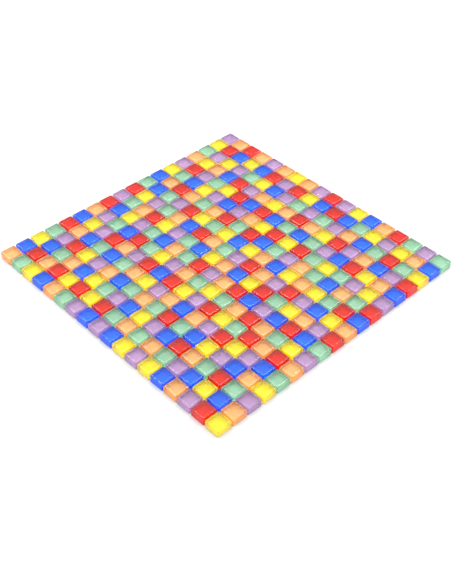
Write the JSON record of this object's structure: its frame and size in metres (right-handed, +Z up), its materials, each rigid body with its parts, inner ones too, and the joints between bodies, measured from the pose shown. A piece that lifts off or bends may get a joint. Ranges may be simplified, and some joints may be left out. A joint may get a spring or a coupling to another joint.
{
  "type": "mosaic tile sheet",
  "caption": "Square sheet of small square glass mosaic tiles in mixed colours, set with open joints on a fibreglass net.",
  "frame": {"origin": "middle of the sheet's underside, which is the underside of the net", "axes": "+Z up out of the tiles' polished faces, X and Y along the rows of tiles, Y along the net's lengthwise yarns"},
  "size_m": [0.298, 0.298, 0.008],
  "materials": {
    "glass_blue": "polished",
    "glass_green": "polished",
    "glass_orange": "polished",
    "glass_purple": "polished",
    "glass_red": "polished",
    "glass_yellow": "polished",
    "net": "matte"
  },
  "bodies": {
    "root": {"tiles_blue": "glass_blue", "tiles_green": "glass_green", "tiles_orange": "glass_orange", "tiles_purple": "glass_purple", "tiles_red": "glass_red", "tiles_yellow": "glass_yellow", "net_lengthwise_yarns": "net", "net_crosswise_yarns": "net"}
  },
  "joints": []
}
